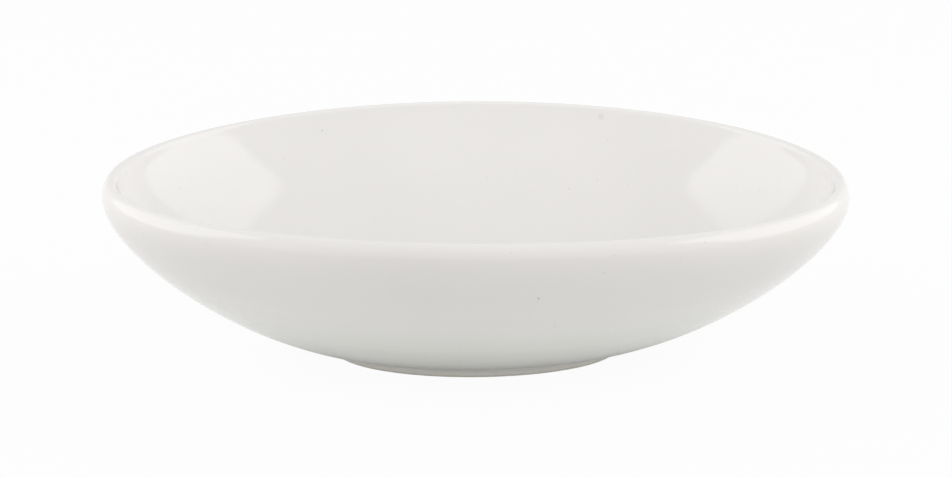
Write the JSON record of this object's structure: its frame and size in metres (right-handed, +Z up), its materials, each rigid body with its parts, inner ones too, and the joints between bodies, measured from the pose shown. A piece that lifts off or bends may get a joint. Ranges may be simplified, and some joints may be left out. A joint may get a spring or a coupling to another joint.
{
  "type": "oval bowl",
  "caption": "Open oval serving bowl of glazed white ceramic with a rounded lip, standing on a low oval foot ring.",
  "frame": {"origin": "on the table, at the centre of the foot ring", "axes": "+X along the bowl's length, +Y across it, +Z up out of its mouth"},
  "size_m": [0.25, 0.176, 0.0645],
  "materials": {
    "body_clay": "fired clay under the glaze, matt",
    "foot_clay": "bare fired clay, matt, on the edge that stands on the table",
    "glaze": "smooth glossy white glaze",
    "well_glaze": "smooth glossy white glaze"
  },
  "bodies": {
    "root": {"bowl_shell": "body_clay", "foot_ring": "foot_clay", "glaze_coat": "glaze", "foot_well_glaze": "well_glaze"}
  },
  "joints": []
}
